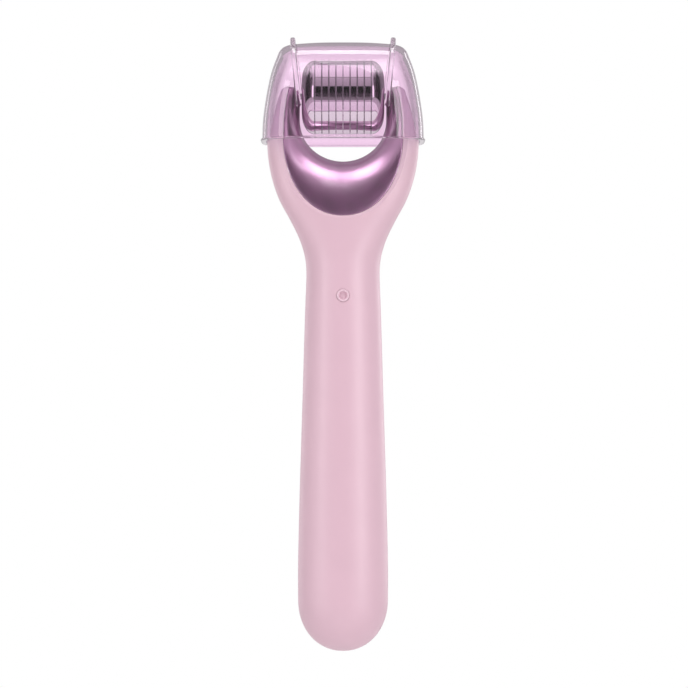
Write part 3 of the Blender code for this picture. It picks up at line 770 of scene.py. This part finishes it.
def add_needle_disc(name, node):
    """A thin disc whose edge is cut into pointed needles."""
    low, high = reach(node)
    middle = (low.x + high.x) / 2
    base = NEEDLE_WIDTH / 2 / NEEDLE_ROOT
    halfway = (NEEDLE_ROOT + NEEDLE_TIP) / 2
    pitch = 2 * math.pi / NEEDLES
    edge = []  # (distance out, turn, share of the disc's thickness)
    for i in range(NEEDLES):
        at = i * pitch
        edge.append((NEEDLE_ROOT, at - base, 1.0))
        edge.append((halfway, at - base * 0.55, 0.8))
        edge.append((NEEDLE_TIP, at, 0.25))
        edge.append((halfway, at + base * 0.55, 0.8))
        edge.append((NEEDLE_ROOT, at + base, 1.0))
        edge.append((NEEDLE_ROOT, at + pitch / 2, 1.0))
    rings = []
    for radius, side in ((HUB_RADIUS, -1), (None, -1), (None, 1), (HUB_RADIUS, 1)):
        ring = []
        for out, turn, share in edge:
            distance = radius or out
            level = side * DISC_THICKNESS / 2 * (1.0 if radius else share)
            ring.append((distance * math.cos(turn), distance * math.sin(turn), level))
        rings.append(ring)
    disc = add_loft(name, rings, closed=True, sharp=20.0)
    place(disc, (middle, 0, AXLE_HEIGHT), turn_to_x())
    dress(disc, "roller", "needle_steel", node)


def add_drum_rings(spacers, middles, clear):
    """The polished rings that fill the gaps between the discs."""
    for i, node in enumerate(spacers):
        low = middles[i] + clear
        high = middles[i + 1] - clear
        profile = rounded_tube(low, high, HUB_RADIUS, DRUM_RADIUS, DRUM_EDGE)
        add_on_axle(f"drum_ring_{i + 1}", profile, "roller", "bright_plated", node, 192)


def add_dome(side, face):
    """A domed end, from beside the last disc out to the drum's tip. The left one is turned round."""
    tip = max(abs(corner.x) for corner in reach(f"end_cap_{side}"))
    profile = [(face, BORE_RADIUS)]
    steps = 28
    for i in range(steps + 1):
        turn = math.radians(90) * i / steps
        along = face + (tip - face) * math.sin(turn)
        out = END_CAP_FACE + (DRUM_RADIUS - END_CAP_FACE) * math.cos(turn)
        profile.append((along, out))
    profile.append((tip, BORE_RADIUS))
    name = f"drum_dome_{side}"
    add_on_axle(name, profile, "roller", "bright_plated", f"end_cap_{side}", 192, side == "left")


def add_roller():
    discs = sorted(n for n in frame["nodes"] if n.startswith("needle_disc_"))
    for i, node in enumerate(discs, 1):
        add_needle_disc(f"needle_ring_{i}", node)
    middles = [sum(corner.x for corner in reach(node)) / 2 for node in discs]
    clear = DISC_THICKNESS / 2 + SLOT
    spacers = sorted(n for n in frame["nodes"] if n.startswith("disc_spacer_"))
    add_drum_rings(spacers, middles, clear)
    add_dome("left", abs(middles[0]) + clear)
    add_dome("right", abs(middles[-1]) + clear)


# Cap

def cap_half_width(z):
    crown_z, crown_width = CAP_CROWN
    if z <= crown_z:
        return through(CAP_HALF_WIDTHS, z)
    return crown_width * math.sqrt(max(CAP_TOP - z, 0.0) / (CAP_TOP - crown_z))


def cap_half_depth(z):
    rise = max(z - CAP_SHOULDER, 0.0) / (CAP_TOP - CAP_SHOULDER)
    return CAP_HALF_DEPTH * rest_of(rise, CAP_SIDE_POWER)


def cap_ring(z, inset=0.0, grow=0.0):
    half_width = cap_half_width(z) - inset + grow
    half_depth = cap_half_depth(z) - inset + grow
    drop = inset * ease(AXLE_HEIGHT, CAP_ROOF, z)
    return oval(half_width, half_depth, CAP_PLAN_POWER, z - drop, RING_POINTS)


def cap_levels(low):
    """Levels that crowd together towards the roof, where the side turns over."""
    dense_from = 149.0
    steps = 26
    levels = levels_between(low, dense_from, 0.8)
    for i in range(steps):
        levels.append(dense_from + (CAP_TOP - dense_from) * math.sin(math.radians(90) * i / steps))
    return levels


def add_fin(side):
    edge = FIN_THICKNESS / 2
    profile = [(-edge, 0)]
    profile += arc((-edge + FIN_ROUND, FIN_RADIUS - FIN_ROUND), FIN_ROUND, 180, 90, 6)
    profile += arc((edge - FIN_ROUND, FIN_RADIUS - FIN_ROUND), FIN_ROUND, 90, 0, 6)
    profile += [(edge, 0)]
    fin = add_turned("fin", profile, 200)
    rotation = (0, math.radians(90) + side * FIN_TILT, 0)
    return place(fin, (side * FIN_PLACE, 0, AXLE_HEIGHT), rotation)


def rim_bead_rings():
    steps = 8
    rings = []
    for i in range(steps + 1):
        turn = math.radians(180) * i / steps
        z = CAP_RIM + RIM_BEAD_HEIGHT * (1 - math.cos(turn)) / 2
        bulge = RIM_BEAD * math.sin(turn) ** 0.6 if 0 < i < steps else 0.0
        rings.append(cap_ring(z, grow=bulge))
    return rings


def add_cap_hollow():
    """What the cap is hollowed with. It goes on down, to cut the fins off at the rim."""
    skirt = [(x, y, z - FIN_RADIUS) for x, y, z in cap_ring(CAP_RIM, CAP_WALL)]
    rings = [skirt] + [cap_ring(z, CAP_WALL) for z in cap_levels(CAP_RIM)[:-1]]
    return add_loft("cap_hollow", rings + [[(0, 0, CAP_TOP - CAP_WALL)]])


def add_cap():
    rings = rim_bead_rings()
    rings += [cap_ring(z) for z in cap_levels(CAP_RIM + 2 * RIM_BEAD_HEIGHT)]
    cap = add_loft("clear_cap", rings + [[(0, 0, CAP_TOP)]])
    hollow = add_cap_hollow()
    fins = [add_fin(side) for side in (-1, 1)]
    tools = [("UNION", fin) for fin in fins]
    carve(cap, *tools, ("DIFFERENCE", hollow))
    discard(hollow, *fins)
    dress(cap, "cap", "clear_lilac", "protective_cap")


# Button

def add_button():
    """A raised ring round a dished middle, and a flange behind the shell."""
    ring = 0.3
    ring_place = BUTTON_RADIUS - 0.05 - ring
    edge = 0.1
    dish = BUTTON_TOP + 0.8
    dish_radius = ring_place - ring
    shoulder = BUTTON_TOP + 0.4
    flange_front = BUTTON_BACK - 0.8
    flange_back = flange_front + 0.45
    stem_radius = 1.0
    profile = [(dish, 0), (dish, dish_radius - edge), (dish - edge, dish_radius)]
    profile += arc((BUTTON_TOP + ring, ring_place), ring, 270, 90, 12)
    profile += [(shoulder, BUTTON_RADIUS), (flange_front, BUTTON_RADIUS)]
    profile += [(flange_front, BUTTON_FLANGE), (flange_back, BUTTON_FLANGE)]
    profile += [(flange_back, stem_radius), (BUTTON_BACK, stem_radius), (BUTTON_BACK, 0)]
    button = place(add_turned("button_cap", profile, 96), (0, 0, BUTTON_HEIGHT), turn_to_y())
    dress(button, "button", "pink_soft_touch", "power_button")
    # A paler pink than its slot's finish, as a painted highlight that brings out the ring, and glossier too
    button.data.materials[0] = moulded("button_pink_painted_highlight", (0.8, 0.56, 0.65), 0.3, 0.2, 0.0005)


# Studio

def aim(thing, target):
    thing.rotation_euler = (Vector(target) - thing.location).to_track_quat("-Z", "Y").to_euler()


def from_object(azimuth, elevation, distance):
    """A point round the object's middle. Azimuth 0 is the camera's side, and 90 is its right."""
    a, e = math.radians(azimuth), math.radians(elevation)
    way = Vector((math.sin(a) * math.cos(e), -math.cos(a) * math.cos(e), math.sin(e)))
    return middle_of_box + way * distance


def add_softbox(name, azimuth, elevation, distance, size, brightness):
    """A rectangular light facing the object. Brightness is that of its face, whatever its size."""
    data = bpy.data.lights.new(name, "AREA")
    data.shape = "RECTANGLE"
    data.size, data.size_y = size
    data.energy = brightness * math.pi * size[0] * size[1]
    light = bpy.data.objects.new(name, data)
    bpy.context.scene.collection.objects.link(light)
    light.location = from_object(azimuth, elevation, distance)
    aim(light, middle_of_box)
    light.visible_camera = False
    light.visible_transmission = False  # the world lights what is seen through the cap


def add_lights():
    """Each has its azimuth, elevation, distance, (width, height) and brightness."""
    add_softbox("key_left", -33, 60, 1.1, (0.5, 0.5), 1.8)
    add_softbox("key_right", 24, 60, 1.1, (0.5, 0.5), 2.8)
    add_softbox("strip_left", -48, 12, 1.1, (0.3, 0.9), 3.5)
    add_softbox("strip_right", 37, 12, 1.1, (0.34, 0.9), 4.7)
    add_softbox("rear_left", -140, 14, 1.1, (0.2, 0.9), 1.5)
    add_softbox("rear_right", 140, 14, 1.1, (0.2, 0.9), 3.0)
    add_softbox("top", 180, 84, 1.2, (0.9, 0.3), 7.0)


# A room's greys are (elevation in degrees, grey), from straight down to straight up. They hold towards the
# camera, and a zone of (azimuth, blend, greys) takes over beyond that azimuth on either side.
ROOM = [(-90, 0.9), (-14, 0.3), (-2, 0.02), (30, 0.02), (45, 0.35), (90, 0.45)]
ROOM_SIDES = [(-90, 0.9), (-14, 0.7), (12, 0.7), (24, 0.2), (45, 0.35), (90, 0.45)]
ROOM_ZONES = [(10, 20, ROOM_SIDES)]

# What the pieces inside the clear cap mirror
FACING = [
    (-90, 1.0), (-62, 1.0), (-57, 0.3), (-52, 0.62), (-17, 0.6), (-15, 0.15), (-7, 0.15), (-6, 0.0),
    (26, 0.0), (27, 0.38), (56, 0.5), (58, 0.15), (60, 0.85), (80, 0.98),
]  # fmt: skip
WINDOWS = [
    (-90, 1.0), (-20, 0.6), (-8, 0.5), (-6, 1.5), (27, 1.5), (29, 0.45), (60, 0.6), (80, 0.98),
]  # fmt: skip
SIDES = [(-90, 1.0), (-20, 0.55), (-7, 0.4), (-6, 0.0), (50, 0.0), (60, 0.45), (80, 0.98)]
BEHIND = [
    (-90, 1.0), (-20, 0.6), (-6, 0.2), (30, 0.2), (40, 0.6), (47, 0.35), (64, 0.35), (72, 0.98),
]  # fmt: skip
CAP_ZONES = [(9, 2, WINDOWS), (26, 8, SIDES), (100, 25, BEHIND)]

# What the fork mirrors through one wall of the cap: soft lamps on a plain grey
LAMPS = [(0.34, -0.38, 0.86), (-0.34, -0.38, 0.86)]  # the ways to them
LAMP_LIGHT = 4.0
LAMP_REACH = math.radians(25)
FORK_LIGHT = 0.65  # the grey on the camera's side
EDGE_LIGHT = 0.45  # and behind, where the cap's own edges find it

INSIDE_LIGHT = 1.1  # what falls on the pieces inside the cap
INSIDE_TINT = (0.98, 1.3, 1.28)  # which makes up for the cap's lilac, as it colours them twice
WALL_TINT = (0.96, 0.8, 0.93)  # of the backdrop, where it is seen through one wall of the cap
BACKDROP = 1.0


class Graph:
    """Builds up a node tree. A source is a number or another node's output."""

    def __init__(self, tree):
        self.tree = tree

    def add(self, kind):
        return self.tree.nodes.new(f"ShaderNode{kind}")

    def connect(self, socket, source):
        if isinstance(source, (int, float)):
            socket.default_value = source
        else:
            self.tree.links.new(source, socket)

    def compute(self, operation, *sources):
        node = self.add("Math")
        node.operation = operation
        for socket, source in zip(node.inputs, sources):
            self.connect(socket, source)
        return node.outputs["Value"]

    def mix(self, first, second, share):
        node = self.add("Mix")
        self.connect(node.inputs["A"], first)
        self.connect(node.inputs["B"], second)
        self.connect(node.inputs["Factor"], share)
        return node.outputs["Result"]

    def tinted(self, grey, colour, share):
        """Colours a grey where the share is 1."""
        node = self.add("MixRGB")
        node.blend_type = "MULTIPLY"
        self.connect(node.inputs["Fac"], share)
        self.connect(node.inputs["Color1"], grey)
        node.inputs["Color2"].default_value = (*colour, 1.0)
        return node.outputs["Color"]

    def panel(self, height, greys):
        """Greys by height, which runs from 0 straight down to 1 straight up."""
        ramp = self.add("ValToRGB")
        stops = ramp.color_ramp.elements
        while len(stops) < len(greys):
            stops.new(0.5)
        for stop, (degrees, grey) in zip(stops, greys):
            stop.position = (degrees + 90) / 180
            stop.color = (grey, grey, grey, 1.0)
        self.connect(ramp.inputs["Fac"], height)
        return ramp.outputs["Color"]

    def zoned(self, height, azimuth, greys, zones):
        """A panel in front, and each zone's panel beyond its azimuth."""
        grey = self.panel(height, greys)
        for start, blend, beyond in zones:
            share = self.compute("DIVIDE", self.compute("SUBTRACT", azimuth, start), blend)
            share.node.use_clamp = True
            grey = self.mix(grey, self.panel(height, beyond), share)
        return grey

    def lamp(self, way, towards):
        """A round lamp that fades out towards its edge."""
        facing = self.add("VectorMath")
        facing.operation = "DOT_PRODUCT"
        facing.inputs[1].default_value = towards
        self.connect(facing.inputs[0], way)
        glow = self.add("MapRange")
        glow.interpolation_type = "SMOOTHERSTEP"
        glow.inputs["From Min"].default_value = math.cos(LAMP_REACH)
        glow.inputs["To Max"].default_value = LAMP_LIGHT
        self.connect(glow.inputs["Value"], facing.outputs["Value"])
        return glow.outputs["Result"]


def add_world():
    """A studio of light and dark panels for reflections, with a plain white backdrop behind the object.

    Rays that have been through the clear cap see rooms of their own, which stand for the lamps and the dark
    cards close to the head.
    """
    world = bpy.data.worlds.new("studio")
    world.use_nodes = True
    bpy.context.scene.world = world
    graph = Graph(world.node_tree)
    compute, mix = graph.compute, graph.mix

    way = graph.add("TexCoord").outputs["Generated"]
    axes = graph.add("SeparateXYZ")
    graph.connect(axes.inputs["Vector"], way)
    height = compute("ADD", compute("DIVIDE", compute("ARCSINE", axes.outputs["Z"]), math.pi), 0.5)
    to_camera = compute("MULTIPLY", axes.outputs["Y"], -1.0)
    azimuth = compute("DEGREES", compute("ABSOLUTE", compute("ARCTAN2", axes.outputs["X"], to_camera)))

    room = graph.zoned(height, azimuth, ROOM, ROOM_ZONES)
    cap_room = graph.zoned(height, azimuth, FACING, CAP_ZONES)
    fork_room = mix(EDGE_LIGHT, FORK_LIGHT, compute("GREATER_THAN", to_camera, 0.0))
    for towards in LAMPS:
        fork_room = compute("ADD", fork_room, graph.lamp(way, towards))

    path = graph.add("LightPath")
    through_cap = path.outputs["Is Transmission Ray"]
    diffused = compute("GREATER_THAN", path.outputs["Diffuse Depth"], 0.5)
    mirrored = compute("GREATER_THAN", path.outputs["Glossy Depth"], 0.5)
    two_walls = compute("GREATER_THAN", path.outputs["Transmission Depth"], 3.5)  # a wall has two faces
    behind_cap = mix(BACKDROP, mix(fork_room, cap_room, two_walls), mirrored)
    behind_cap = mix(behind_cap, INSIDE_LIGHT, diffused)
    seen = mix(room, behind_cap, through_cap)
    seen = mix(seen, BACKDROP, path.outputs["Is Camera Ray"])

    turned = compute("ADD", compute("ADD", mirrored, diffused), two_walls)
    straight = compute("LESS_THAN", turned, 0.5)
    seen = graph.tinted(seen, INSIDE_TINT, compute("MULTIPLY", through_cap, diffused))
    seen = graph.tinted(seen, WALL_TINT, compute("MULTIPLY", through_cap, straight))
    graph.connect(graph.tree.nodes["Background"].inputs["Color"], seen)


def add_floor():
    """A round pale floor some way under the object."""
    radius, thickness, depth = 700, 10, 135
    profile = [(-depth - thickness, 0), (-depth - thickness, radius), (-depth, radius), (-depth, 0)]
    floor = add_turned("floor", profile, 96)
    material, tree, shader = new_finish("floor_paper", (0.8, 0.8, 0.8), 0.9)
    shader.inputs["Specular IOR Level"].default_value = 0.0
    emboss(tree, shader, grain(tree, 2.0), 0.02)
    floor.data.materials.append(material)


def add_camera():
    """Level with the object's middle, and square to its front."""
    data = bpy.data.cameras.new("camera")
    camera = bpy.data.objects.new("camera", data)
    bpy.context.scene.collection.objects.link(camera)
    distance = 0.65
    height_in_frame = 0.891  # the object's height as a share of the frame's
    frame_height = (cad_box[1].z - cad_box[0].z) / height_in_frame
    data.angle = 2 * math.atan(frame_height / 2 / distance)
    aside = 0.25 * MM  # how far left of the frame's middle the object stands
    camera.location = middle_of_box + Vector((aside, -distance, 0))
    camera.rotation_euler = (math.radians(90), 0, 0)
    bpy.context.scene.camera = camera
    bpy.context.scene.view_settings.view_transform = "Standard"


def set_bounces():
    """Enough for light to find its way out of the cap's walls and fins, which mirror it many times."""
    cycles = bpy.context.scene.cycles
    cycles.max_bounces = 32
    cycles.glossy_bounces = 24
    cycles.transmission_bounces = 24


middle_of_box = (cad_box[0] + cad_box[1]) / 2
finishes = make_finishes()
paint_cad_nodes()
add_camera()
set_bounces()
add_world()
add_lights()
add_floor()
add_handle_skins()
add_fork_insert()
add_axle()
add_roller()
add_cap()
add_button()
